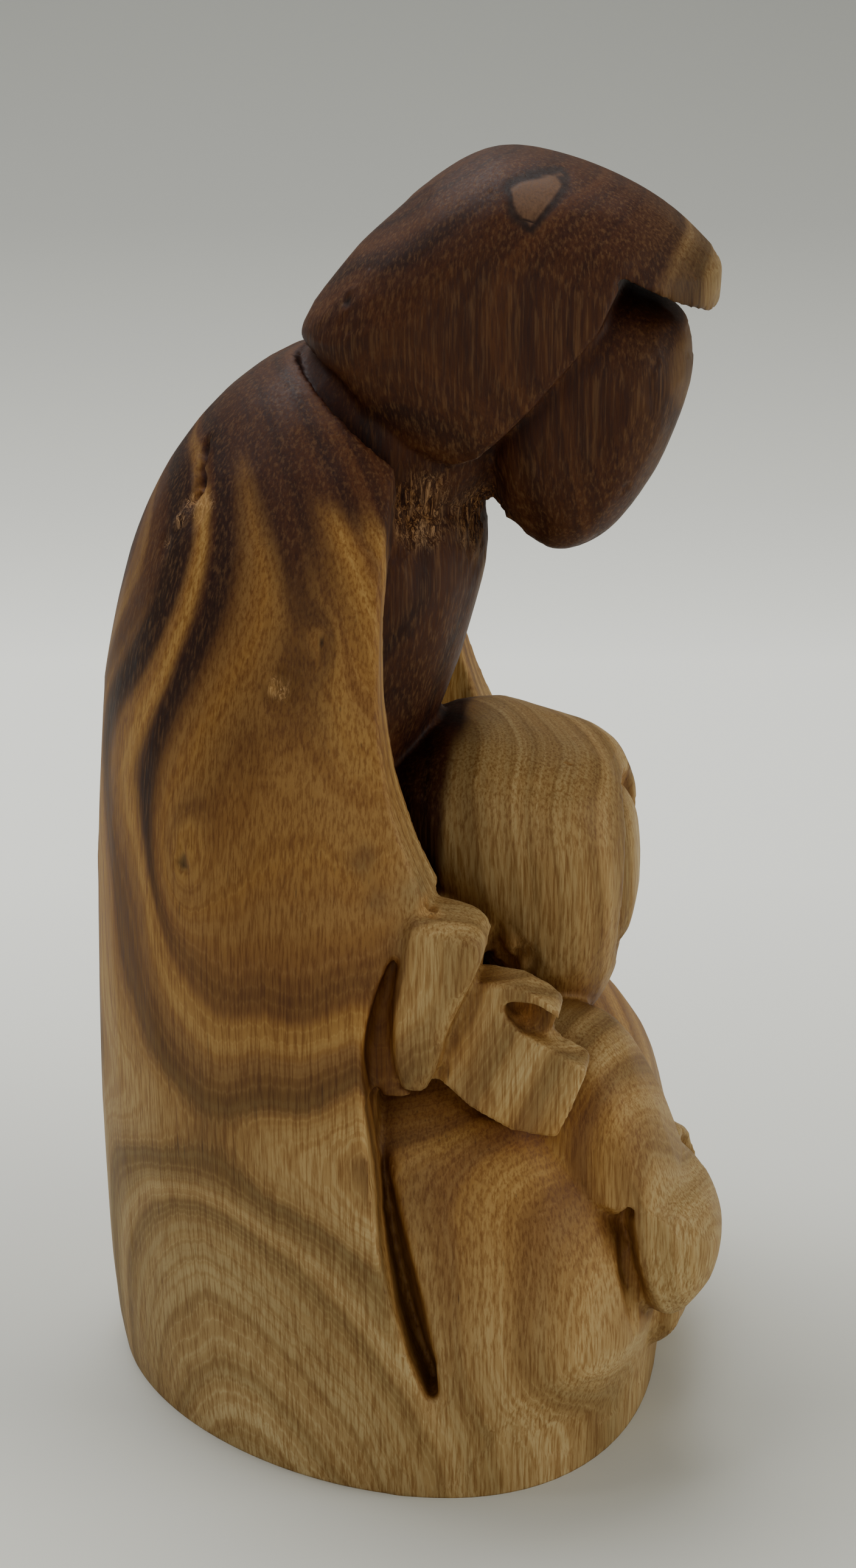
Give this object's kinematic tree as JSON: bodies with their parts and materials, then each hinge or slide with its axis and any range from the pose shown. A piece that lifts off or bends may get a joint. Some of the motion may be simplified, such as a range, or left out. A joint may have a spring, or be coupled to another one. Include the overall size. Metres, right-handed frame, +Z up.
{
  "type": "holy family statue",
  "caption": "Small carved wooden group: a hooded standing figure bows over a veiled seated figure with a swaddled child, all blank-faced.",
  "frame": {"origin": "middle of the carving's foot, on the flat underside", "axes": "+Z up, the figures look along -Y, and the standing figure's left hand is at +X"},
  "size_m": [0.0758, 0.0784, 0.1501],
  "materials": {
    "olive_wood": "smoothed and lightly oiled, satin"
  },
  "bodies": {
    "root": {"holy_family_carving": "olive_wood"}
  },
  "joints": []
}
